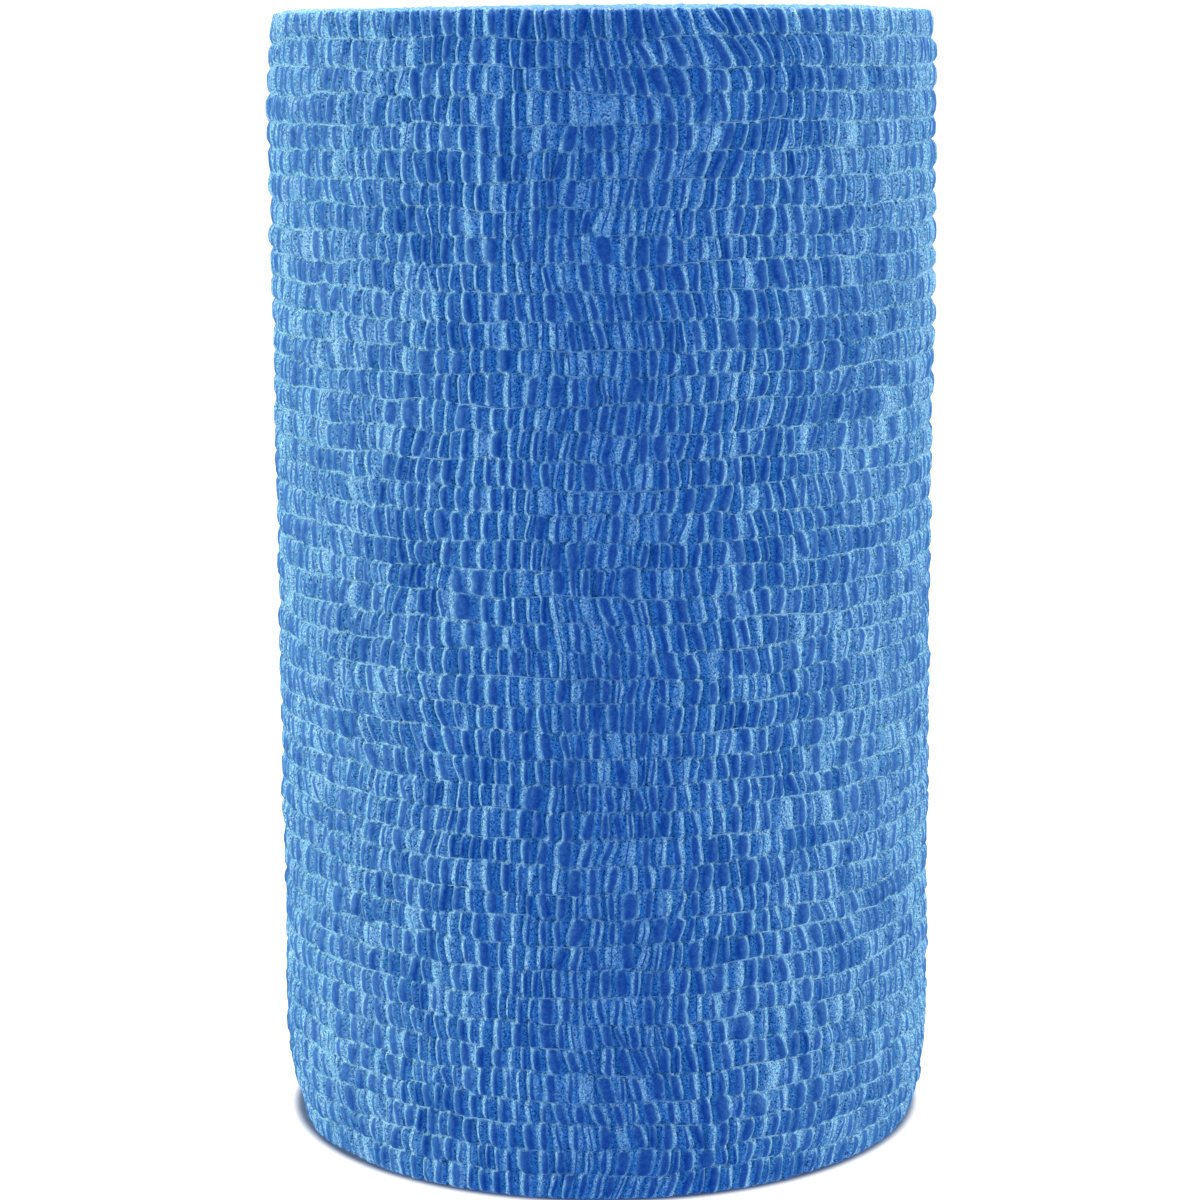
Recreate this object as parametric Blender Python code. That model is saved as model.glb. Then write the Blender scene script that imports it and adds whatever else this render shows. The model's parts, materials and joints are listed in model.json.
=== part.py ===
"""A cohesive bandage roll, standing on one end: a strip of crinkled self-gripping cloth wound on itself.

The roll is one piece of cloth, so it is one solid. The solid has the roll's wound outline, a spiral whose
free end lies on the turn below and makes a step of one turn at the back. The rows that the elastic threads
draw in run round it as ribs, its two ends are rounded at the rim, and the hole that the winding rod left
runs through it. All lengths are in metres, with +Z up along the roll and the front of the roll at -Y.
"""

import math

import bmesh
import bpy
from mathutils import Vector, noise

# The strip of cloth, and how it is wound.
CLOTH_WIDTH = 0.100
TURN_PITCH = 0.0009
END_RADIUS = 0.0301
END_ANGLE = math.radians(75)
STEP_ANGLE = math.radians(1.6)

# The rows of puckers between neighbouring elastic threads.
ROWS = 44
ROW_PITCH = CLOTH_WIDTH / ROWS
RIB_DEPTH = 0.00045
RIB_UNEVEN = 0.00012
THREAD_WANDER = 0.00022

# The hole that the winding rod left, a little squashed.
HOLE_RADIUS = 0.0040
HOLE_WIDE = 1.05
HOLE_NARROW = 0.90

# How far each rim is drawn in, and over what height of the roll.
BASE_DRAWN_IN = 0.0012
BASE_ROUNDING = 0.009
TOP_DRAWN_IN = 0.0005
TOP_ROUNDING = 0.003

# The end faces, from the rim to the hole: the share of the way in, and how far the turns' edges
# stand back there from the plane of that end.
TOP_FACE = (
    # share inwards, set back
    (0.00, 0.00045),
    (0.10, 0.00030),
    (0.30, 0.00000),
    (0.55, 0.00000),
    (0.80, 0.00040),
    (1.00, 0.00090),
)
BASE_FACE = (
    # share inwards, set back
    (1.00, 0.00080),
    (0.80, 0.00030),
    (0.62, 0.00000),
    (0.00, 0.00000),
)

COLUMNS = 40
NOISE_PER_METRE = 90.0
SHARP_ANGLE = math.radians(60)

CLOTH_COLOUR = (0.045, 0.20, 0.60, 1.0)
CLOTH_ROUGHNESS = 0.85


def clear_scene():
    """Removes the objects that the file opened with."""
    for old in list(bpy.data.objects):
        bpy.data.objects.remove(old)


def cloth_material():
    """Matt blue non-woven cloth."""
    material = bpy.data.materials.new("blue_cohesive_cloth")
    material.use_nodes = True
    shader = material.node_tree.nodes["Principled BSDF"]
    shader.inputs["Base Color"].default_value = CLOTH_COLOUR
    shader.inputs["Roughness"].default_value = CLOTH_ROUGHNESS
    shader.inputs["Metallic"].default_value = 0.0
    return material


def wandering(angle, height, layer):
    """A smooth value from about -1 to 1 that changes slowly over the roll's side."""
    place = Vector((math.cos(angle) * END_RADIUS, math.sin(angle) * END_RADIUS, height))
    return noise.noise(place * NOISE_PER_METRE + Vector((0.0, 0.0, 10.0 * layer)))


def wound_radius(angle):
    """The radius of the outermost turn, which grows by one pitch in a whole turn up to the free end."""
    return END_RADIUS - TURN_PITCH * (END_ANGLE - angle) / math.tau


def drawn_in(height):
    """How far the rim is pulled in at this height, at the base and at the top."""
    at_base = max(0.0, 1.0 - height / BASE_ROUNDING)
    at_top = max(0.0, 1.0 - (CLOTH_WIDTH - height) / TOP_ROUNDING)
    return BASE_DRAWN_IN * at_base**2 + TOP_DRAWN_IN * at_top**2


def hole_radius(angle):
    """The squashed hole's radius in this direction."""
    across = math.cos(angle) / (HOLE_RADIUS * HOLE_WIDE)
    along = math.sin(angle) / (HOLE_RADIUS * HOLE_NARROW)
    return 1.0 / math.hypot(across, along)


def ribbed_side(angle):
    """The side's profile at this angle, from the base to the top, as (radius, height) points."""
    turn = wound_radius(angle)
    base_height = BASE_FACE[-1][1]
    top_height = CLOTH_WIDTH - TOP_FACE[0][1]
    points = [(turn - RIB_DEPTH - drawn_in(0.0), base_height)]
    for row in range(ROWS):
        crest = (row + 0.5) * ROW_PITCH
        swell = RIB_UNEVEN * wandering(angle, crest, 1)
        points.append((turn + swell - drawn_in(crest), crest))
        if row < ROWS - 1:
            thread = (row + 1) * ROW_PITCH
            rise = THREAD_WANDER * wandering(angle, thread, 2)
            points.append((turn - RIB_DEPTH - drawn_in(thread), thread + rise))
    points.append((turn - RIB_DEPTH - drawn_in(CLOTH_WIDTH), top_height))
    return points


def end_face(angle, rim, face, plane, outward):
    """Points of one end face between its rim and the hole, in the order of its table, as (radius, height)."""
    hole = hole_radius(angle)
    return [
        (rim + (hole - rim) * inwards, plane - outward * set_back)
        for inwards, set_back in face
    ]


def section(angle):
    """The roll's closed section at this angle: up the ribbed side, in over the top, down the hole and out."""
    side = ribbed_side(angle)
    top = end_face(angle, side[-1][0], TOP_FACE[1:], CLOTH_WIDTH, 1)
    base = end_face(angle, side[0][0], BASE_FACE[:-1], 0.0, -1)
    return [
        (radius * math.cos(angle), radius * math.sin(angle), height)
        for radius, height in side + top + base
    ]


def bandage_roll(material):
    """The wound roll: its section carried round the spiral, and closed across the free end's step."""
    first = END_ANGLE + STEP_ANGLE - math.tau
    angles = [first + (math.tau - STEP_ANGLE) * i / COLUMNS for i in range(COLUMNS + 1)]

    shape = bmesh.new()
    rings = [[shape.verts.new(point) for point in section(angle)] for angle in angles]
    for here, ahead in zip(rings, rings[1:] + rings[:1]):
        for i, low in enumerate(here):
            above = (i + 1) % len(here)
            shape.faces.new((low, ahead[i], ahead[above], here[above]))
    bmesh.ops.recalc_face_normals(shape, faces=shape.faces)

    mesh = bpy.data.meshes.new("bandage_roll")
    shape.to_mesh(mesh)
    shape.free()
    mesh.materials.append(material)
    mesh.shade_smooth()
    mesh.set_sharp_from_angle(angle=SHARP_ANGLE)
    roll = bpy.data.objects.new("bandage_roll", mesh)
    bpy.context.scene.collection.objects.link(roll)
    return roll


def main():
    clear_scene()
    bandage_roll(cloth_material())


main()
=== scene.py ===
"""A cohesive bandage roll, dressed in its crinkled cloth, on a pale studio floor.

The part's own solid gives the roll's outline. Here it gets its cloth: the outer turn with its rows of
pillow-like puckers, the wound turns that show as crinkled edges at both ends, and the elastic threads that
draw the rows in. All lengths are in metres, +Z is up along the roll, and the front of the roll is at -Y.
"""

import json
import math

import bpy
import numpy as np
from mathutils import Matrix, Vector

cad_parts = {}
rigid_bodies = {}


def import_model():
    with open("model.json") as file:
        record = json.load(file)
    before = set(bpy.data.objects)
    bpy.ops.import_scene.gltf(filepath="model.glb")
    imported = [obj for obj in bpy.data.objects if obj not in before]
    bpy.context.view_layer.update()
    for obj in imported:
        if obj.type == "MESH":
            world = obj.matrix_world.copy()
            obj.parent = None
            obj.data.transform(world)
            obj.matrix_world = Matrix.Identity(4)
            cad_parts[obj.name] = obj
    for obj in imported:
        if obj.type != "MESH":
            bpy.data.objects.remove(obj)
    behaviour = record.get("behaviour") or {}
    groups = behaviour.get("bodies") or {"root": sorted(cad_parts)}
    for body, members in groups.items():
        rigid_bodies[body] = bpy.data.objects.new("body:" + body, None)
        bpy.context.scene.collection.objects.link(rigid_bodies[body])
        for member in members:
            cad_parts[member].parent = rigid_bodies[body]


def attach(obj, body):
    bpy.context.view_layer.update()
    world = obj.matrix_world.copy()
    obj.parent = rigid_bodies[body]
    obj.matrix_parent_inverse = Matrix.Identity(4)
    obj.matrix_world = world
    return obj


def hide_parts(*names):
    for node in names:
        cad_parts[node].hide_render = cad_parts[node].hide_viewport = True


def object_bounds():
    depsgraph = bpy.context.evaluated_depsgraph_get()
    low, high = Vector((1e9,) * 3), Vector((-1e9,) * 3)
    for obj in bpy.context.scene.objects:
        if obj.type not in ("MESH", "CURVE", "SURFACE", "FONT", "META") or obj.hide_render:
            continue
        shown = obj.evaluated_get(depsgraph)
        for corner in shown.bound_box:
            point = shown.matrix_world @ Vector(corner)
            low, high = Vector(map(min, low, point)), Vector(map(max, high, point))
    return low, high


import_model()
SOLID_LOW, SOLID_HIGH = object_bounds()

bl_info = {
    "name": "Cohesive bandage roll",
    "version": (1, 0, 0),
    "blender": (4, 5, 0),
    "location": "3D View > Sidebar > Bandage",
    "description": "Dresses a wound bandage roll in crinkled cloth and sets up its studio",
    "category": "Object",
}

ROLL_NODE = "bandage_roll"

# A random field's gain, which makes up for what smoothing between its grid points takes away, and the size
# of the cloth that it covers.
DRIFT_GAIN = 1.4
DRIFT_LENGTH = 0.2
DRIFT_WIDTH = 0.11

# How the outer turn is pulled in at both ends: how far up or down that reaches, and how far it goes in.
BASE_PULL_REACH = 0.009
BASE_PULL = 0.0012
TOP_PULL_REACH = 0.010
TOP_PULL = 0.0006

# The outer turn is cut into sectors. Over about this many columns, sideways shifts fade out towards a cut.
SECTORS = 4
UPRIGHT_COLUMNS = 22

# How far the outer turn starts under its own free end, and the share that this adds to its flat length.
TUCK = math.radians(5)

# The lines of points in one row of pillows, from its lower thread at -1 to its upper one at 1.
LEVELS = np.array((-1.0, -0.84, -0.48, 0.0, 0.48, 0.84, 1.0))[:, None]
LINES_IN_ROW = len(LEVELS) - 1

# How the threads stray up and down, slowly and in short wobbles, each with its length round the roll. The
# cloth's top edge lies a margin below the full width, rises a little, and strays only a share as far.
STRAY = 0.00020
STRAY_LENGTH = 0.006
WOBBLE = 0.00013
WOBBLE_LENGTH = 0.0011
TOP_MARGIN = 0.00030
TOP_RISE = 0.000036
TOP_STRAY_SHARE = 0.18

# How many columns of points a pillow spans, how often that happens, and the share that is fuzzy all over.
PILLOW_SPANS = (
    # columns, how often, share fuzzy
    (5, 3, 0.50),
    (6, 6, 0.36),
    (7, 12, 0.28),
    (8, 18, 0.21),
    (9, 20, 0.17),
    (10, 16, 0.14),
    (11, 11, 0.14),
    (12, 7, 0.16),
    (13, 4, 0.20),
    (15, 3, 0.30),
)

# A row's last pillow joins the one before it if it spans fewer columns than this.
NARROWEST_LAST_PILLOW = 4

# How pillows differ: the spread and limits of their creases' depth, how much of a pillow is smooth, for
# fuzzy ones and for the others, and how far up or down its smooth face lies.
CREASE_SPREAD = 0.22
CREASE_LIMITS = (0.45, 1.5)
FUZZY_FACES = (0.04, 0.26)
SMOOTH_FACES = (0.28, 0.66)
FACE_SLIP = 0.10

# The form of a pillow: how its columns crowd at the creases, how much narrower it is at the threads, the
# limit for the corners that this leaves outside it, and how round creases, thread lines and their meeting
# are.
CROWDING = 0.30
NARROWING = 0.28
FARTHEST_EDGE = 1.12
CREASE_ROUNDNESS = 2.1
THREAD_ROUNDNESS = 3.4
MEETING_ROUNDNESS = 1.5

# The share of their depth that creases and rows' ends keep at the cloth's free edges.
FREE_EDGE_SHARE = 0.5

# How far a pillow swells, tilts and leans.
SWELL = 0.00007
TILT = 0.00007
LEAN = 0.00016

# The outline of a pillow's smooth face: how round it is sideways and upwards, and how near it comes to the
# threads.
FACE_ROUNDNESS = 2.4
FACE_SQUARENESS = 7
FACE_REACH = 1.03

# Random unevenness of the outer turn, in its relief and in its sideways shift.
RELIEF_DRIFTS = (
    # seed, length round, length upwards, how far
    (5, 0.0070, 0.0060, 0.00012),
    (6, 0.0005, 0.0006, 0.00004),
    (8, 0.0011, 0.0011, 0.00005),
)
SHIFT_DRIFTS = (
    # seed, length round, length upwards, how far
    (9, 0.0140, 0.0090, 0.00090),
    (10, 0.0006, 0.0007, 0.00005),
)

# Where whole groups of pillows lean: the middle of the patch, its reach, and the sideways shift for each
# metre upwards.
LEANING_PATCHES = (
    # degrees round, height, degrees either way, reach in height, lean
    (-66, 0.0985, 14, 0.0045, -0.60),
    (-88, 0.0020, 16, 0.0050, 0.45),
    (-120, 0.0600, 12, 0.0100, 0.12),
    (-50, 0.0350, 14, 0.0120, -0.10),
    (40, 0.0700, 25, 0.0120, 0.20),
    (130, 0.0250, 25, 0.0120, -0.18),
)

# The back of the outer turn: how far it lies behind the crests, how far from the cloth's edges it starts,
# and the shares of the cloth's width at which it has lines of points. At its edges the cloth is this thick,
# and its inner rim lies a small step lower at the top and higher at the base.
BACK_DEPTH = 0.00095
BACK_START = 0.0013
BACK_SHARES = (0.93, 0.50, 0.10)
EDGE_THICKNESS = 0.00042
TOP_RIM_STEP = 0.00003
BASE_RIM_STEP = 0.00002

# The end faces, from the rim to the hole: the share of the way in, and how far the turns' edges stand
# back there from the plane of that end.
TOP_FACE = (
    # share inwards, set back
    (0.00, 0.00015),
    (0.10, 0.00010),
    (0.30, 0.00000),
    (0.55, 0.00005),
    (0.80, 0.00045),
    (1.00, 0.00090),
)
BASE_FACE = (
    # share inwards, set back
    (0.00, 0.00000),
    (0.62, 0.00002),
    (0.80, 0.00030),
    (1.00, 0.00080),
)

# The hole is wider one way and narrower the other, and the turns near it follow that over this distance.
HOLE_WIDER = 1.05
HOLE_NARROWER = 0.90
HOLE_REACH = 0.012

# The wound turns: the way between two points of a turn, how many points a crinkle of its edge spans, which
# is always fewer than the second number, and how strong it is.
TURN_STEP = 0.00034
CRINKLE_SPANS = (2, 4)
CRINKLE_STRENGTHS = (0.3, 1.0)

# How many points an uneven lift of the edges spans, how much of it changes from point to point, how far it
# goes at the top and at the base, and how far the edges sway sideways.
LIFT_SPAN = 60
LIFT_ROUGHNESS = 0.6
TOP_LIFT = 0.00016
BASE_LIFT = 0.00008
SWAY = 0.00021

# The section of a wound turn: half its thickness at the edges, the gap on each side of its wall, how far
# from the edges the wall starts, how far one side of an edge is set off from the other, and how pale and
# fuzzy wall and edge are.
LEAF = 0.00017
WALL_GAP = 0.00003
WALL_START = 0.0017
TOP_SLANT = 0.00006
BASE_SLANT = 0.00004
WALL_FUZZ = 0.2
EDGE_FUZZ = 0.9

# Near the rim, down to this share of the way in, the wound turns are pulled in with the outer one. Their
# walls get thinner by this share of it.
PULLED_SHARE = 0.28
THINNER_SHARE = 0.2

# The elastic threads: points along one, columns skipped at its start, the corners of its section in degrees,
# how far it lies under the cloth's line there, how far and how often it bobs, how far its start tucks in,
# and how far its end may stick out.
THREAD_POINTS = 300
THREAD_START = 6
THREAD_CORNERS = (90, 210, 330)
THREAD_SINK = 0.00008
THREAD_BOB = 0.00030
THREAD_BOBS = 80
THREAD_TUCK = 0.0003
THREAD_OVERHANG = 0.0012

# The columns over which a thread's radius and height are smoothed.
RADIUS_COLUMNS = 9
HEIGHT_COLUMNS = 15

# The studio's paper: a round floor with a bent-up wall, and the roll's shadow on it, dark up to the first
# distance from the axis and gone at the second.
FLOOR_SIDES = 96
FLOOR_RADIUS = 1.5
WALL_HEIGHT = 1.6
WALL_BEND = 0.5
WALL_BEND_STEPS = 16
SHADOW_RIMS = (0.0284, 0.0296)
SHADOW_COLOUR = (0.02, 0.015, 0.03, 1)
PAPER_GLOW = (1, 1, 1, 1)

# The soft lights. The one on the left is the right one's mirror image.
SIDE_LIGHT_PLACE = (0.50, -0.04, 0.06)
SIDE_LIGHT_TARGET = (0, 0, 0.05)
SIDE_LIGHT_SIZE = (0.34, 0.12)
TOP_LIGHT_PLACE = (0.0, 0.11, 0.60)
TOP_LIGHT_TARGET = (0, 0, 0.10)
TOP_LIGHT_SIZE = (0.4, 0.1)

# The camera, with its tilt below the level and its roll in degrees.
CAMERA_PLACE = (-0.0002, -0.280, 0.096)
CAMERA_TILT = 9.95
CAMERA_ROLL = -0.34
CAMERA_LENS = 93.1
CAMERA_SENSOR = 36.0


class RollSizes(bpy.types.PropertyGroup):
    """Sizes of the cloth and of the roll."""

    cloth_width: bpy.props.FloatProperty(
        name="Cloth width",
        description="Width of the cloth, which is the height of the standing roll",
        default=SOLID_HIGH[2] - SOLID_LOW[2],
        unit="LENGTH",
    )
    turn_pitch: bpy.props.FloatProperty(
        name="Turn pitch",
        description="How much each turn adds to the radius",
        default=0.0009,
        unit="LENGTH",
    )
    end_radius: bpy.props.FloatProperty(
        name="Radius at the free end",
        description="Distance from the axis to the crests of the outer turn where the cloth ends",
        default=0.0301,
        unit="LENGTH",
    )
    end_angle: bpy.props.FloatProperty(
        name="Free end",
        description="Where round the roll the cloth ends",
        default=math.radians(75),
        subtype="ANGLE",
        unit="ROTATION",
    )
    rows: bpy.props.IntProperty(
        name="Rows", description="Rows of pillows between the cloth's two edges", default=44, min=2
    )
    columns: bpy.props.IntProperty(
        name="Columns", description="Columns of points round the outer turn", default=1300, min=200
    )
    crease_depth: bpy.props.FloatProperty(
        name="Crease depth",
        description="How deep the creases between pillows are",
        default=0.00042,
        unit="LENGTH",
    )
    thread_depth: bpy.props.FloatProperty(
        name="Thread depth",
        description="How far the threads draw the rows in",
        default=0.00034,
        unit="LENGTH",
    )
    thread_thickness: bpy.props.FloatProperty(
        name="Thread thickness",
        description="Diameter of an elastic thread",
        default=0.00013,
        unit="LENGTH",
    )
    hole_radius: bpy.props.FloatProperty(
        name="Hole radius",
        description="Radius of the hole that the winding rod left",
        default=0.0040,
        unit="LENGTH",
    )


class RollColours(bpy.types.PropertyGroup):
    """Colours of the cloth and its threads."""

    face: bpy.props.FloatVectorProperty(
        name="Pillow faces",
        description="Smooth faces of the pillows",
        default=(0.018, 0.110, 0.345),
        subtype="COLOR",
        min=0,
        max=1,
    )
    # Painted light in part: the flanks' pale colour is the fuzz's own paler tone, and also painted light
    # where the side lamps catch the flanks.
    flank_fuzz_and_light: bpy.props.FloatVectorProperty(
        name="Pillow flanks",
        description="Fuzzy sides of the pillows",
        default=(0.25, 0.54, 0.70),
        subtype="COLOR",
        min=0,
        max=1,
    )
    # Painted highlight in part: the raised fibres are pale, and their near-white also stands for light
    # catching them.
    fibre_and_highlight: bpy.props.FloatVectorProperty(
        name="Raised fibres",
        description="Bright raised fibres",
        default=(0.78, 0.90, 0.98),
        subtype="COLOR",
        min=0,
        max=1,
    )
    # Painted shade: the pits are darker than any of the cloth's own colours, for the shade in them.
    pit_shade: bpy.props.FloatVectorProperty(
        name="Pits",
        description="Small pits between fibres",
        default=(0.008, 0.055, 0.22),
        subtype="COLOR",
        min=0,
        max=1,
    )
    thread: bpy.props.FloatVectorProperty(
        name="Threads",
        description="Elastic threads",
        default=(0.55, 0.70, 0.95),
        subtype="COLOR",
        min=0,
        max=1,
    )


class StudioLook(bpy.types.PropertyGroup):
    """The plain studio round the roll."""

    floor: bpy.props.FloatVectorProperty(
        name="Floor",
        description="Colour of the floor and backdrop, apart from their glow",
        default=(0.25, 0.25, 0.25),
        subtype="COLOR",
        min=0,
        max=1,
    )
    side_tint: bpy.props.FloatVectorProperty(
        name="Side tint",
        description="Colour of the lights at the sides",
        default=(0.90, 1.0, 0.70),
        subtype="COLOR",
        min=0,
        max=1,
    )
    left_light: bpy.props.FloatProperty(
        name="Left light", description="Power of the left soft light", default=3.0, unit="POWER"
    )
    right_light: bpy.props.FloatProperty(
        name="Right light", description="Power of the right soft light", default=2.5, unit="POWER"
    )
    top_light: bpy.props.FloatProperty(
        name="Top light", description="Power of the light above", default=5.0, unit="POWER"
    )
    backdrop: bpy.props.FloatProperty(
        name="Backdrop", description="How brightly the paper under and round the roll glows", default=1.0
    )
    fill: bpy.props.FloatVectorProperty(
        name="Fill",
        description="Colour of the dim light from all round",
        default=(0.057, 0.248, 0.775),
        subtype="COLOR",
        min=0,
        soft_max=2,
    )


# What all the pieces use.


class Drift:
    """A smooth random field over the cloth, mostly between -1 and 1."""

    def __init__(self, seed, cell_along, cell_up):
        random = np.random.default_rng(seed)
        self.cells = (cell_along, cell_up)
        counts = (int(DRIFT_LENGTH / cell_along) + 4, int(DRIFT_WIDTH / cell_up) + 4)
        self.grid = random.uniform(-1, 1, counts)

    def __call__(self, along, up):
        along, up = np.broadcast_arrays(along / self.cells[0] + 1, up / self.cells[1] + 1)
        column = np.clip(np.floor(along).astype(int), 0, self.grid.shape[0] - 2)
        line = np.clip(np.floor(up).astype(int), 0, self.grid.shape[1] - 2)
        across, rise = np.clip(along - column, 0, 1), np.clip(up - line, 0, 1)
        across, rise = across * across * (3 - 2 * across), rise * rise * (3 - 2 * rise)
        low = self.grid[column, line] * (1 - across) + self.grid[column + 1, line] * across
        high = self.grid[column, line + 1] * (1 - across) + self.grid[column + 1, line + 1] * across
        return (low * (1 - rise) + high * rise) * DRIFT_GAIN


def uneven(values, drifts, along, height):
    """The values with each of the random drifts added."""
    for seed, cell_along, cell_up, amount in drifts:
        values = values + amount * Drift(seed, cell_along, cell_up)(along, height)
    return values


def wound_radius(sizes, angle):
    """Radius of the crests of the turn at this angle, which is counted on through the turns."""
    return sizes.end_radius - sizes.turn_pitch * (sizes.end_angle - angle) / math.tau


def drawn_in(sizes, height):
    """How far the outer turn is pulled in near the base and near the top."""
    at_base = np.maximum(0.0, 1.0 - height / BASE_PULL_REACH)
    at_top = np.maximum(0.0, 1.0 - (sizes.cloth_width - height) / TOP_PULL_REACH)
    return BASE_PULL * at_base**2 + TOP_PULL * at_top**2


def polar(radius, angle, height):
    """Points from their distance to the axis, angle and height."""
    radius, angle, height = np.broadcast_arrays(radius, angle, height)
    return np.stack([radius * np.cos(angle), radius * np.sin(angle), height], axis=-1)


def strip_faces(rings, columns):
    """Quads of a closed section carried along columns, with both ends closed by one face each."""
    ring = np.arange(rings)
    column = np.arange(columns - 1)
    low = (ring[:, None] * columns + column).ravel()
    high = (((ring + 1) % rings)[:, None] * columns + column).ravel()
    quads = np.stack([low, low + 1, high + 1, high], axis=-1).tolist()
    start = (ring[::-1] * columns).tolist()
    end = (ring * columns + columns - 1).tolist()
    return quads + [end[::-1], start[::-1]]


def deselect_all():
    """Leaves nothing selected."""
    for item in bpy.context.view_layer.objects:
        item.select_set(False)


def set_normals(mesh, which, normals):
    """Gives some of the mesh's points these normals, and the others keep their own."""
    every = np.zeros(len(mesh.vertices) * 3, dtype=np.float32)
    mesh.vertex_normals.foreach_get("vector", every)
    every = every.reshape(-1, 3)
    every[which] = normals
    mesh.normals_split_custom_set_from_vertices(every.tolist())


def mesh_object(name, points, faces, material, values=None, normals=None):
    """An object from points and faces, shaded smooth, with its values kept as attributes of its points,
    and with the normals of some points set, where they are given."""
    mesh = bpy.data.meshes.new(name)
    mesh.from_pydata(points.tolist(), [], faces)
    mesh.update()
    for key, value in (values or {}).items():
        layer = mesh.attributes.new(key, "FLOAT", "POINT")
        layer.data.foreach_set("value", np.asarray(value, dtype=np.float32).ravel())
    mesh.materials.append(material)
    mesh.shade_smooth()
    if normals is not None:
        set_normals(mesh, *normals)
    made = bpy.data.objects.new(name, mesh)
    bpy.context.scene.collection.objects.link(made)
    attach(made, "root")
    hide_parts(ROLL_NODE)
    return made


# The outer turn.


def thread_lines(sizes, along):
    """Heights of the threads at each column, from the cloth's edge at the base to its edge at the top."""
    row_height = (sizes.cloth_width - TOP_MARGIN) / sizes.rows
    straying = Drift(3, STRAY_LENGTH, row_height)
    wobbling = Drift(4, WOBBLE_LENGTH, row_height)
    lines = [np.zeros_like(along)]
    for number in range(1, sizes.rows + 1):
        even = number * row_height
        stray = STRAY * straying(along, even) + WOBBLE * wobbling(along, even)
        if number == sizes.rows:
            stray = TOP_RISE + TOP_STRAY_SHARE * stray
        lines.append(even + stray)
    return lines


def pillow_row(random, columns):
    """One row's pillows, as values at each column: the place across the pillow from -1 to 1, half its
    width in columns, the depth of the nearer crease, how much of the pillow is smooth, how far its smooth
    face slips up or down, and how it swells, tilts and leans, each with a spread of 1."""
    spans, often, share_fuzzy = zip(*PILLOW_SPANS)
    chances = np.array(often) / sum(often)
    edges = [0]
    while edges[-1] < columns:
        edges.append(edges[-1] + int(random.choice(spans, p=chances)))
    edges[-1] = columns
    if edges[-1] - edges[-2] < NARROWEST_LAST_PILLOW:
        edges.pop(-2)
    edges = np.array(edges)
    widths = np.diff(edges)
    count = len(widths)
    column = np.arange(columns + 1)
    which = np.clip(np.searchsorted(edges, column, side="right") - 1, 0, count - 1)
    place = 2.0 * (column - edges[which]) / widths[which] - 1.0
    depths = np.clip(random.normal(1.0, CREASE_SPREAD, count + 1), *CREASE_LIMITS)
    fuzzy = random.uniform(0, 1, count) < np.interp(widths, spans, share_fuzzy)
    smooth = np.where(fuzzy, random.uniform(*FUZZY_FACES, count), random.uniform(*SMOOTH_FACES, count))
    return {
        "place": place,
        "depth": np.where(place < 0, depths[which], depths[which + 1]),
        "swell": random.normal(0.0, 1.0, count)[which],
        "tilt": random.normal(0.0, 1.0, count)[which],
        "lean": random.normal(0.0, 1.0, count)[which],
        "smooth": smooth[which],
        "half": 0.5 * widths[which],
        "slip": random.uniform(-FACE_SLIP, FACE_SLIP, count)[which],
    }


def crowded(place):
    """A pillow's columns, moved out towards its creases, where the shape turns most."""
    return place + CROWDING * np.sin(np.pi * place) / np.pi


def pillow_relief(sizes, row, across, edge, free):
    """How far out one row's points lie: less than nothing in the creases and at the threads, which are
    both shallower where the cloth's edge is free."""
    rim = np.abs(LEVELS)
    crease = sizes.crease_depth * row["depth"] * edge**CREASE_ROUNDNESS
    crease = crease * np.where(free, 1 - (1 - FREE_EDGE_SHARE) * rim**2, 1.0)
    draw = sizes.thread_depth * np.where(free, FREE_EDGE_SHARE, 1.0) * rim**THREAD_ROUNDNESS
    drop = (crease**MEETING_ROUNDNESS + draw**MEETING_ROUNDNESS) ** (1 / MEETING_ROUNDNESS)
    body = (1 - np.minimum(edge, 1) ** 3) * (1 - rim**4)
    return SWELL * row["swell"] * body + TILT * row["tilt"] * across * body - drop


def smooth_faces(row, edge):
    """1 in the middle of a pillow's smooth face, 0.5 on its outline, and less out on the fuzzy flanks, whose
    paler colour is partly painted light from the side lamps.
    """
    slipped = np.abs(LEVELS + row["slip"] * (1 - 0.5 * np.abs(LEVELS)))
    oval = (edge / row["smooth"]) ** FACE_ROUNDNESS + (slipped / FACE_REACH) ** FACE_SQUARENESS
    return np.clip(1.0 - 0.5 * np.sqrt(oval), -0.5, 1)


def assemble(rows):
    """Rows of lines, each from one thread to the next, put together into one grid: neighbours share a
    thread's line, which gets the mean of both."""
    parts = []
    for number, row in enumerate(rows):
        low = row[0] if number == 0 else 0.5 * (row[0] + rows[number - 1][-1])
        parts.append(low[None])
        parts.append(row[1:-1])
    parts.append(rows[-1][-1][None])
    return np.concatenate(parts)


def leaning(shift, angle, height):
    """The sideways shift with the patches of leaning pillows added."""
    degrees = np.degrees(angle)
    for middle, up, breadth, reach, lean in LEANING_PATCHES:
        apart = (degrees - middle + 180) % 360 - 180
        near = np.exp(-((apart / breadth) ** 2))
        rise = (height - up) / reach
        shift = shift + lean * reach * near * rise * np.exp(-0.5 * rise**2)
    return shift


def sector_cuts(sizes):
    """The columns at which the outer turn is divided into sectors."""
    return np.linspace(0, sizes.columns, SECTORS + 1).astype(int)


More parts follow.
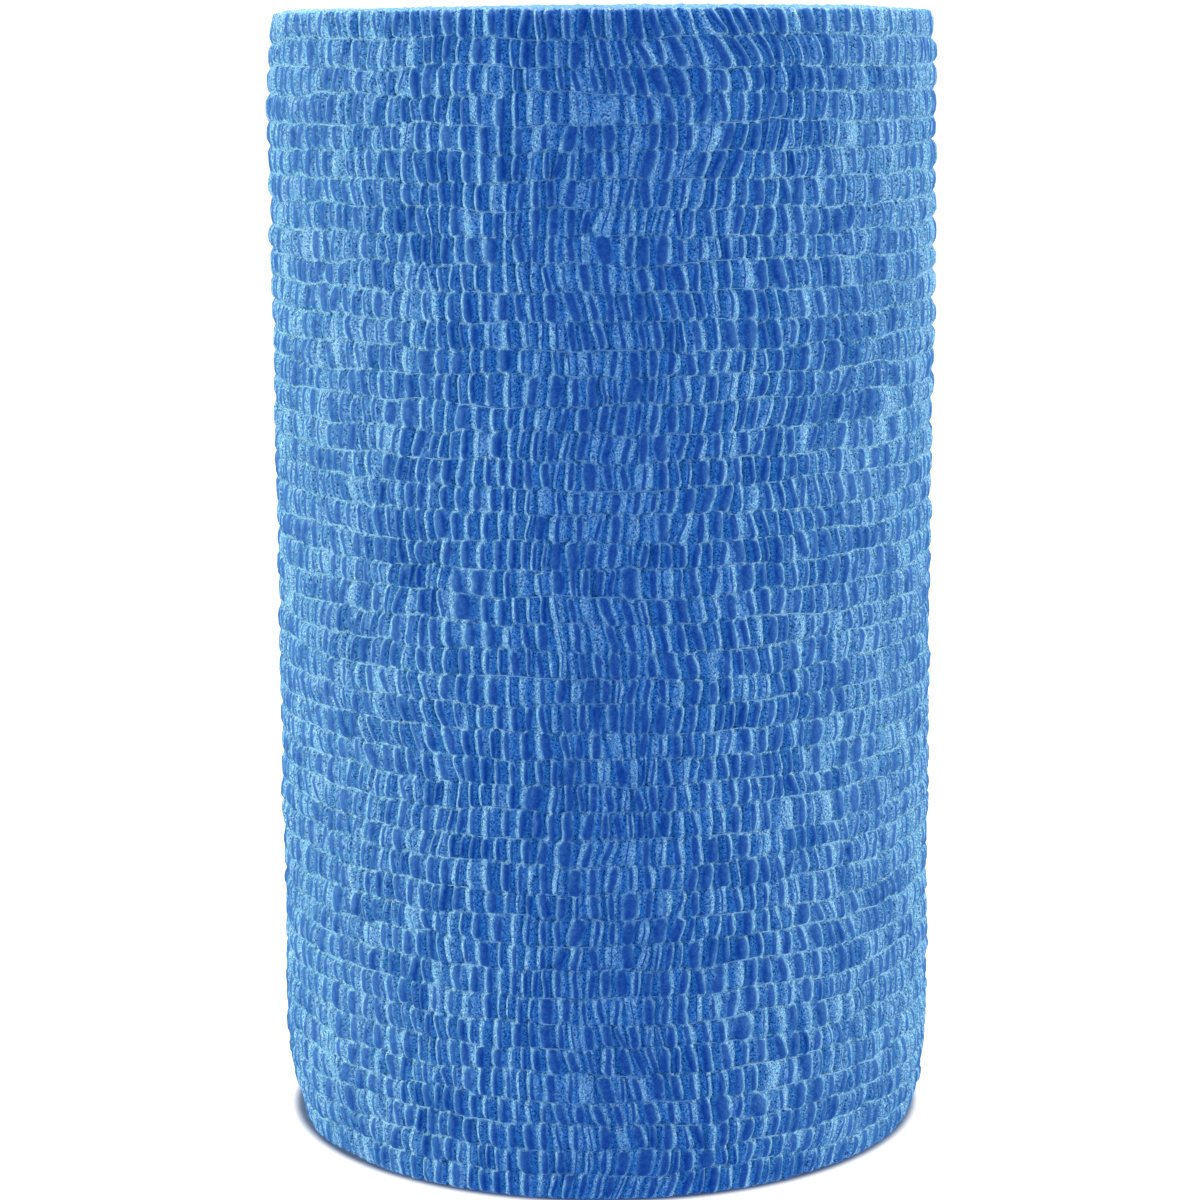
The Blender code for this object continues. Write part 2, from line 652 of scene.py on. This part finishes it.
def outer_cloth(sizes):
    """The outer turn's front side as grids of points and values, lines upwards by columns round."""
    column = np.arange(sizes.columns + 1)
    first = sizes.end_angle - math.tau - TUCK
    step = (math.tau + TUCK) / sizes.columns
    angle = first + step * column
    along = (angle - first) * sizes.end_radius
    column_width = step * sizes.end_radius
    lines = thread_lines(sizes, along)

    random = np.random.default_rng(44)
    rim = np.abs(LEVELS)
    heights, reliefs, shifts, faces = [], [], [], []
    for number in range(sizes.rows):
        row = pillow_row(random, sizes.columns)
        across = crowded(row["place"])
        edge = np.minimum(np.abs(across) / (1 - NARROWING * rim**4), FARTHEST_EDGE)
        free = ((number == 0) & (LEVELS < 0)) | ((number == sizes.rows - 1) & (LEVELS > 0))
        lean = LEAN * row["lean"] * LEVELS * (1 - rim**6)
        low, high = lines[number], lines[number + 1]
        heights.append(low + (high - low) * (LEVELS + 1) / 2)
        reliefs.append(pillow_relief(sizes, row, across, edge, free))
        shifts.append((across - row["place"]) * row["half"] * column_width + lean)
        faces.append(smooth_faces(row, edge))

    height = assemble(heights)
    relief = uneven(assemble(reliefs), RELIEF_DRIFTS, along, height)
    shift = uneven(leaning(assemble(shifts), angle, height), SHIFT_DRIFTS, along, height)
    for cut in sector_cuts(sizes):
        shift = shift * (1 - np.exp(-(((column - cut) / UPRIGHT_COLUMNS) ** 2)))
    radius = wound_radius(sizes, angle) - drawn_in(sizes, height) + relief
    turned = angle + shift / sizes.end_radius
    return {
        "points": polar(radius, turned, height),
        "turned": turned,
        "radius": radius,
        "angle": angle,
        "face": assemble(faces),
    }


def grid_normals(points):
    """Normals of a grid of points, pointing away from the axis."""
    round_way = np.gradient(points, axis=1)
    upwards = np.gradient(points, axis=0)
    normals = np.cross(round_way, upwards)
    return normals / np.linalg.norm(normals, axis=-1, keepdims=True)


def cloth_sections(sizes, cloth):
    """The outer turn's closed section at each column: up its front, over the edge, down its back. Gives
    its points, and how smooth the cloth is there, which is nothing at the back."""
    points, radius, turned, angle = cloth["points"], cloth["radius"], cloth["turned"], cloth["angle"]
    base, top = points[0, :, 2], points[-1, :, 2]
    back = wound_radius(sizes, angle) - BACK_DEPTH
    back_base, back_top = base + BACK_START, top - BACK_START
    inner = [
        polar(radius[-1] - EDGE_THICKNESS, turned[-1], top - TOP_RIM_STEP),
        polar(back - drawn_in(sizes, back_top), angle, back_top),
        *(polar(back, angle, sizes.cloth_width * share) for share in BACK_SHARES),
        polar(back - drawn_in(sizes, back_base), angle, back_base),
        polar(radius[0] - EDGE_THICKNESS, turned[0], base + BASE_RIM_STEP),
    ]
    sections = np.concatenate([points, np.stack(inner)])
    smoothness = np.concatenate([cloth["face"], np.zeros((len(inner), len(angle)))])
    return sections, smoothness


class BANDAGE_OT_outer_turn(bpy.types.Operator):
    """Makes the outer turn of crinkled cloth, in sectors."""

    bl_idname = "bandage.outer_turn"
    bl_label = "Outer turn"

    def execute(self, context):
        sizes = context.scene.roll_sizes
        deselect_all()
        material = cloth_material(context.scene.roll_colours)
        cloth = outer_cloth(sizes)
        sections, smoothness = cloth_sections(sizes, cloth)
        normals = grid_normals(cloth["points"])
        line = np.arange(len(normals))
        cuts = sector_cuts(sizes)
        for number, (left, right) in enumerate(zip(cuts[:-1], cuts[1:])):
            part = sections[:, left : right + 1]
            width = part.shape[1]
            seams = np.concatenate([line * width, line * width + width - 1])
            turn = mesh_object(
                f"outer_turn_{number + 1}",
                part.reshape(-1, 3),
                strip_faces(len(sections), width),
                material,
                {"face": smoothness[:, left : right + 1]},
                (seams, np.concatenate([normals[:, left], normals[:, right]])),
            )
        return {"FINISHED"}


# The wound turns.


def wound_spiral(sizes):
    """The turns under the outer one: the radius of their middle and the angle at each point, the share of
    the way in from the rim, and the cloth's whole length."""
    hole = sizes.hole_radius
    outer = sizes.end_radius - sizes.turn_pitch
    ring = outer**2 - hole**2
    turns = (outer - hole) / sizes.turn_pitch
    first = sizes.end_angle - math.tau - turns * math.tau
    length = math.pi * ring / sizes.turn_pitch
    count = int(length / TURN_STEP) + 1
    share = (np.arange(count) + 0.5) / count
    radius = np.sqrt(hole**2 + share * ring)
    angle = first + (radius - hole) / (outer - hole) * turns * math.tau
    middle = radius - sizes.turn_pitch / 2
    inwards = 1 - (middle - hole) / (outer - hole)
    return middle, angle, inwards, length


def squashed(sizes, radius, angle):
    """Radius of a turn near the hole, which is a little flattened."""
    hole = sizes.hole_radius / np.hypot(np.cos(angle) / HOLE_WIDER, np.sin(angle) / HOLE_NARROWER)
    fade = np.clip(1 - (radius - sizes.hole_radius) / HOLE_REACH, 0, 1)
    return radius + (hole - sizes.hole_radius) * fade**1.5


def set_back(table, inwards):
    """How far the turns' edges stand back from their end's plane at this share of the way in."""
    shares, backs = zip(*table)
    return np.interp(inwards, shares, backs)


def crinkled_edge(random, count):
    """How the turns' edges at one end sway sideways and lift at each point, from about -1 to 1."""
    sway = np.zeros(count)
    at, side = 0, 1
    while at < count - 1:
        span = int(random.integers(*CRINKLE_SPANS))
        sway[at : at + span] = side * random.uniform(*CRINKLE_STRENGTHS)
        side = -side
        at += span
    sway = np.convolve(sway, (0.25, 0.5, 0.25), mode="same")
    slow = random.uniform(-1, 1, (count - 1) // LIFT_SPAN + 3)
    lift = np.interp(np.arange(count) / LIFT_SPAN, np.arange(len(slow)), slow)
    lift += LIFT_ROUGHNESS * random.uniform(-1, 1, count)
    return sway, lift


class BANDAGE_OT_wound_turns(bpy.types.Operator):
    """Makes the turns under the outer one, which show at both ends and in the hole."""

    bl_idname = "bandage.wound_turns"
    bl_label = "Wound turns"

    def execute(self, context):
        sizes = context.scene.roll_sizes
        deselect_all()
        middle, angle, inwards, length = wound_spiral(sizes)
        centre = squashed(sizes, middle, angle)
        random = np.random.default_rng(28)
        top_sway, top_lift = crinkled_edge(random, len(angle))
        base_sway, base_lift = crinkled_edge(random, len(angle))
        top = sizes.cloth_width - set_back(TOP_FACE, inwards) + TOP_LIFT * top_lift
        base = set_back(BASE_FACE, inwards) + BASE_LIFT * (1 + np.clip(base_lift, -1, 1))

        near_rim = np.clip(1 - inwards / PULLED_SHARE, 0, 1) ** 1.5
        base_pull = near_rim * drawn_in(sizes, 0.0)
        top_pull = near_rim * drawn_in(sizes, sizes.cloth_width)
        base_wall = sizes.turn_pitch / 2 - WALL_GAP - THINNER_SHARE * base_pull
        top_wall = sizes.turn_pitch / 2 - WALL_GAP - THINNER_SHARE * top_pull
        at_base, at_top = centre - base_pull, centre - top_pull
        base_edge, top_edge = at_base + SWAY * base_sway, at_top + SWAY * top_sway
        section = (
            # radius, height, fuzz
            (at_base + base_wall, base + WALL_START, WALL_FUZZ),
            (at_top + top_wall, top - WALL_START, WALL_FUZZ),
            (top_edge + LEAF, top - TOP_SLANT, EDGE_FUZZ),
            (top_edge - LEAF, top, EDGE_FUZZ),
            (at_top - top_wall, top - WALL_START, WALL_FUZZ),
            (at_base - base_wall, base + WALL_START, WALL_FUZZ),
            (base_edge - LEAF, base + BASE_SLANT, EDGE_FUZZ),
            (base_edge + LEAF, base, EDGE_FUZZ),
        )
        points = np.stack([polar(radius, angle, height) for radius, height, _ in section])
        fuzz = np.stack([np.full_like(angle, value) for _, _, value in section])
        wound = mesh_object(
            "wound_turns",
            points.reshape(-1, 3),
            strip_faces(len(section), len(angle)),
            edge_material(context.scene.roll_colours),
            {"fuzz": fuzz},
        )
        return {"FINISHED"}


# The elastic threads.


def smoothed(values, columns):
    """A moving mean over this many columns."""
    return np.convolve(values, np.ones(columns) / columns, mode="same")


def thread_route(sizes, cloth, number, random):
    """The radius, angle and height of one thread's middle, at each of its points."""
    line = number * LINES_IN_ROW
    taken = np.round(np.linspace(THREAD_START, sizes.columns, THREAD_POINTS)).astype(int)
    inner = np.clip(taken, HEIGHT_COLUMNS // 2 + 1, sizes.columns - HEIGHT_COLUMNS // 2 - 1)
    bob = np.interp(
        np.arange(THREAD_POINTS),
        np.linspace(0, THREAD_POINTS, THREAD_BOBS),
        random.uniform(-1, 1, THREAD_BOBS),
    )
    radius = smoothed(cloth["radius"][line], RADIUS_COLUMNS)[taken] - THREAD_SINK + THREAD_BOB * bob
    radius[0] -= THREAD_TUCK
    angle = cloth["angle"][taken]
    angle[-1] += random.uniform(0.0, THREAD_OVERHANG) / sizes.end_radius
    height = smoothed(cloth["points"][line, :, 2], HEIGHT_COLUMNS)[inner]
    return radius, angle, height


class BANDAGE_OT_elastic_threads(bpy.types.Operator):
    """Makes the elastic threads that draw the rows in."""

    bl_idname = "bandage.elastic_threads"
    bl_label = "Elastic threads"

    def execute(self, context):
        sizes = context.scene.roll_sizes
        deselect_all()
        cloth = outer_cloth(sizes)
        random = np.random.default_rng(7)
        half = sizes.thread_thickness / 2
        corners = np.radians(THREAD_CORNERS)[::-1]
        one_thread = strip_faces(len(corners), THREAD_POINTS)
        points, faces = [], []
        for number in range(1, sizes.rows):
            radius, angle, height = thread_route(sizes, cloth, number, random)
            at = len(points) * THREAD_POINTS
            for turn in corners:
                points.append(polar(radius + half * math.cos(turn), angle, height + half * math.sin(turn)))
            faces += [[at + corner for corner in face] for face in one_thread]
        mesh_object(
            "elastic_threads", np.concatenate(points), faces, thread_material(context.scene.roll_colours)
        )
        return {"FINISHED"}


# Materials.


class Sock:
    """A shader socket that takes part in Python sums."""

    def __init__(self, bench, socket):
        self.bench, self.socket = bench, socket

    def _sum(self, operation, *values):
        return self.bench.node("Math", {"operation": operation}, dict(enumerate(values)))

    def __add__(self, other):
        return self._sum("ADD", self, other)

    def __radd__(self, other):
        return self._sum("ADD", other, self)

    def __sub__(self, other):
        return self._sum("SUBTRACT", self, other)

    def __rsub__(self, other):
        return self._sum("SUBTRACT", other, self)

    def __mul__(self, other):
        return self._sum("MULTIPLY", self, other)

    def __rmul__(self, other):
        return self._sum("MULTIPLY", other, self)


class Bench:
    """Where one material's nodes are laid and joined."""

    def __init__(self, name):
        self.material = bpy.data.materials.new(name)
        self.material.use_nodes = True
        self.tree = self.material.node_tree
        self.tree.nodes.clear()

    def node(self, kind, settings=None, values=None, out=0):
        """A node of this type: its settings, then the values or links of its sockets. Gives its output."""
        made = self.tree.nodes.new("ShaderNode" + kind)
        for key, setting in (settings or {}).items():
            setattr(made, key, setting)
        for key, value in (values or {}).items():
            if isinstance(value, Sock):
                self.tree.links.new(value.socket, made.inputs[key])
            else:
                made.inputs[key].default_value = value
        return Sock(self, made.outputs[out])

    def attribute(self, name):
        """A value kept on the mesh."""
        return self.node("Attribute", {"attribute_name": name}, out="Fac")

    def place(self):
        """Object coordinates."""
        return self.node("TexCoord", out="Object")

    def noise(self, cells, detail=2.0, roughness=0.5):
        """Noise from 0 to 1, of this many cells a metre."""
        values = {"Vector": self.place(), "Scale": cells, "Detail": detail, "Roughness": roughness}
        return self.node("TexNoise", values=values)

    def between(self, value, low, high):
        """0 at low and before it, 1 at high and past it, and smooth between."""
        settings = {"interpolation_type": "SMOOTHSTEP"}
        return self.node("MapRange", settings, {"Value": value, "From Min": low, "From Max": high})

    def blend(self, share, first, second):
        """A colour from the first to the second."""
        settings = {"data_type": "RGBA"}
        return self.node("Mix", settings, {0: share, 6: first, 7: second}, out=2)

    def cloth(self, colour, roughness, height=None, depth=0.0, sheen=0.0, tint=(1, 1, 1)):
        """The material with a cloth's shader: its relief goes to this depth, and its sheen is tinted."""
        values = {
            "Base Color": colour,
            "Roughness": roughness,
            "Specular IOR Level": 0.10,
            "Sheen Weight": sheen,
            "Sheen Roughness": 0.25,
            "Sheen Tint": (*tint, 1.0),
        }
        if height is not None:
            bump = {"Strength": 1.0, "Distance": depth, "Height": height}
            values["Normal"] = self.node("Bump", values=bump)
        return self.finished(self.node("BsdfPrincipled", values=values))

    def finished(self, shader):
        """The material, with the shader joined to its output."""
        output = self.tree.nodes.new("ShaderNodeOutputMaterial")
        self.tree.links.new(shader.socket, output.inputs["Surface"])
        return self.material


def cloth_material(colours):
    """Crinkled cloth: smooth dark pillow faces, and light fuzzy flanks with raised fibres and pits. The
    flanks' pale colour is partly the fuzz and partly painted light from the side lamps, the fibres'
    near-white is partly a painted highlight, and the pits' dark colour is painted shade.
    """
    bench = Bench("crinkled_cloth")
    face = bench.attribute("face")
    patchy = bench.noise(cells=1100.0)
    fibres = bench.noise(cells=5800.0, roughness=0.6)
    pits = bench.noise(cells=6400.0, detail=1.5, roughness=0.55)
    grain = bench.noise(cells=2300.0, detail=3.0, roughness=0.65)

    smooth = bench.between(face + (patchy - 0.5) * 0.6 + (fibres - 0.5) * 0.7, 0.28, 0.70)
    # The flanks' share: fuzz, and painted light from the side lamps on the flanks.
    fuzz_and_light_share = 1 - smooth
    # Raised fibres: pale fibres, and partly a painted highlight where light would catch them.
    fibre_and_highlight_mask = bench.between(fibres, 0.51, 0.57) * (fuzz_and_light_share * 0.70 + 0.05)
    # Pits: sunk in the bump, and darkened with painted shade.
    pit_shade_mask = bench.between(pits, 0.44, 0.38) * (fuzz_and_light_share * 0.70 + 0.08)
    mottled = bench.between(grain, 0.30, 0.72)
    # From the face colour to the flank colour, which is partly painted light.
    colour = bench.blend(fuzz_and_light_share * 0.84 + mottled * 0.16, (*colours.face, 1), (*colours.flank_fuzz_and_light, 1))
    colour = bench.blend(fibre_and_highlight_mask, colour, (*colours.fibre_and_highlight, 1))
    colour = bench.blend(pit_shade_mask, colour, (*colours.pit_shade, 1))
    height = (fibres - 0.5) * (0.25 + 0.75 * fuzz_and_light_share) + patchy * 0.3 - pit_shade_mask * 0.4
    roughness = 0.62 + fuzz_and_light_share * 0.25
    return bench.cloth(colour, roughness, height, depth=0.00014, sheen=0.30, tint=(0.75, 0.90, 1.0))


def edge_material(colours):
    """The wound turns, whose cut edges are pale and fuzzy."""
    bench = Bench("wound_cloth")
    fuzz = bench.attribute("fuzz")
    fibres = bench.noise(cells=4600.0, detail=2.5, roughness=0.62)
    patchy = bench.noise(cells=700.0)

    edge = bench.between(fuzz + (patchy - 0.5) * 0.3, 0.45, 0.85)
    # The edges' raised fibres get the same partly painted highlight.
    fibre_and_highlight_mask = bench.between(fibres, 0.52, 0.64) * edge
    # The cut edges take the flanks' colour, which is partly painted light.
    colour = bench.blend(edge, (*colours.face, 1), (*colours.flank_fuzz_and_light, 1))
    colour = bench.blend(fibre_and_highlight_mask * 0.7, colour, (*colours.fibre_and_highlight, 1))
    return bench.cloth(colour, 0.85, fibres, depth=0.00014, sheen=0.80, tint=(0.90, 0.95, 1.0))


def thread_material(colours):
    """Pale elastic thread."""
    bench = Bench("elastic_thread")
    wear = bench.noise(cells=1500.0)
    colour = bench.blend(wear, (*colours.flank_fuzz_and_light, 1), (*colours.thread, 1))
    return bench.cloth(colour, 0.6)


def paper_material(look):
    """Pale glowing paper, darker in the roll's shadow."""
    bench = Bench("studio_paper")
    on_floor = bench.node("VectorMath", {"operation": "MULTIPLY"}, {0: bench.place(), 1: (1, 1, 0)})
    apart = bench.node("VectorMath", {"operation": "LENGTH"}, {0: on_floor}, out="Value")
    values = {
        "Base Color": (*look.floor, 1),
        "Roughness": 0.9,
        "Specular IOR Level": 0.0,
        "Emission Color": bench.blend(bench.between(apart, *SHADOW_RIMS), SHADOW_COLOUR, PAPER_GLOW),
        "Emission Strength": look.backdrop,
    }
    return bench.finished(bench.node("BsdfPrincipled", values=values))


# The studio.


def studio_floor(look):
    """A round floor whose wall is bent up out of it, seen by the camera but not lighting the roll."""
    deselect_all()
    bpy.ops.mesh.primitive_circle_add(vertices=FLOOR_SIDES, radius=FLOOR_RADIUS, fill_type="NGON")
    floor = bpy.context.object
    floor.name = "studio_floor"
    bpy.ops.object.mode_set(mode="EDIT")
    bpy.ops.mesh.select_mode(type="EDGE")
    bpy.ops.mesh.select_all(action="SELECT")
    bpy.ops.mesh.extrude_edges_move(TRANSFORM_OT_translate={"value": (0.0, 0.0, WALL_HEIGHT)})
    bpy.ops.object.mode_set(mode="OBJECT")
    for edge in floor.data.edges:
        edge.select = all(floor.data.vertices[end].co.z < WALL_HEIGHT / 2 for end in edge.vertices)
    bpy.ops.object.mode_set(mode="EDIT")
    bpy.ops.mesh.bevel(offset=WALL_BEND, segments=WALL_BEND_STEPS, affect="EDGES")
    bpy.ops.object.mode_set(mode="OBJECT")
    floor.data.shade_smooth()
    floor.data.materials.append(paper_material(look))
    floor.visible_diffuse = False
    floor.visible_glossy = False


def soft_light(name, place, target, size, power, tint=(1, 1, 1)):
    """A soft light panel of this width and height, facing its target."""
    light = bpy.data.lights.new(name, "AREA")
    light.shape = "RECTANGLE"
    light.size, light.size_y = size
    light.energy = power
    light.color = tint
    item = bpy.data.objects.new(name, light)
    bpy.context.scene.collection.objects.link(item)
    item.location = place
    way = Vector(target) - item.location
    item.rotation_euler = way.to_track_quat("-Z", "Y").to_euler()
    return item


def studio_lights(look):
    """A soft light on each side of the roll, and one above it."""
    x, y, z = SIDE_LIGHT_PLACE
    side = (SIDE_LIGHT_TARGET, SIDE_LIGHT_SIZE)
    lights = [
        soft_light("left_light", (-x, y, z), *side, look.left_light, look.side_tint),
        soft_light("right_light", (x, y, z), *side, look.right_light, look.side_tint),
        soft_light("top_light", TOP_LIGHT_PLACE, TOP_LIGHT_TARGET, TOP_LIGHT_SIZE, look.top_light),
    ]


def studio_air(look):
    """The dim light from all round."""
    world = bpy.data.worlds.new("studio_air")
    world.use_nodes = True
    air = world.node_tree.nodes["Background"]
    air.inputs["Color"].default_value = (*look.fill, 1.0)
    air.inputs["Strength"].default_value = 1.0
    bpy.context.scene.world = world


def studio_camera():
    """The camera, in front of the roll and looking a little down on it."""
    lens = bpy.data.cameras.new("camera")
    lens.sensor_width = CAMERA_SENSOR
    lens.lens = CAMERA_LENS
    camera = bpy.data.objects.new("camera", lens)
    bpy.context.scene.collection.objects.link(camera)
    camera.location = CAMERA_PLACE
    tilt = Matrix.Rotation(math.radians(90 - CAMERA_TILT), 3, "X")
    roll = Matrix.Rotation(math.radians(CAMERA_ROLL), 3, "Z")
    camera.rotation_euler = (tilt @ roll).to_euler()
    bpy.context.scene.camera = camera


class BANDAGE_OT_studio(bpy.types.Operator):
    """Makes the pale floor and backdrop, the soft lights and the camera."""

    bl_idname = "bandage.studio"
    bl_label = "Studio"

    def execute(self, context):
        look = context.scene.studio_look
        studio_floor(look)
        studio_lights(look)
        studio_air(look)
        studio_camera()
        context.scene.view_settings.view_transform = "Standard"
        return {"FINISHED"}


class BANDAGE_PT_panel(bpy.types.Panel):
    """Sizes, colours and steps of the roll."""

    bl_idname = "BANDAGE_PT_panel"
    bl_label = "Bandage roll"
    bl_space_type = "VIEW_3D"
    bl_region_type = "UI"
    bl_category = "Bandage"

    def draw(self, context):
        for title, group in (
            ("Sizes", context.scene.roll_sizes),
            ("Colours", context.scene.roll_colours),
            ("Studio", context.scene.studio_look),
        ):
            box = self.layout.box()
            box.label(text=title)
            for key in group.__annotations__:
                box.prop(group, key)
        for step in STEPS:
            self.layout.operator(step.bl_idname)


STEPS = (
    BANDAGE_OT_elastic_threads,
    BANDAGE_OT_outer_turn,
    BANDAGE_OT_wound_turns,
    BANDAGE_OT_studio,
)
GROUPS = (
    ("roll_sizes", RollSizes),
    ("roll_colours", RollColours),
    ("studio_look", StudioLook),
)


def register():
    """Adds the properties, the operators and the panel to Blender."""
    for key, group in GROUPS:
        bpy.utils.register_class(group)
        setattr(bpy.types.Scene, key, bpy.props.PointerProperty(type=group))
    for step in (*STEPS, BANDAGE_PT_panel):
        bpy.utils.register_class(step)


def unregister():
    """Takes them out again."""
    for step in reversed((*STEPS, BANDAGE_PT_panel)):
        bpy.utils.unregister_class(step)
    for key, group in reversed(GROUPS):
        delattr(bpy.types.Scene, key)
        bpy.utils.unregister_class(group)


def main():
    """Dresses the roll and sets up the studio."""
    register()
    bpy.ops.bandage.elastic_threads()
    bpy.ops.bandage.outer_turn()
    bpy.ops.bandage.wound_turns()
    bpy.ops.bandage.studio()


if __name__ == "__main__":
    main()
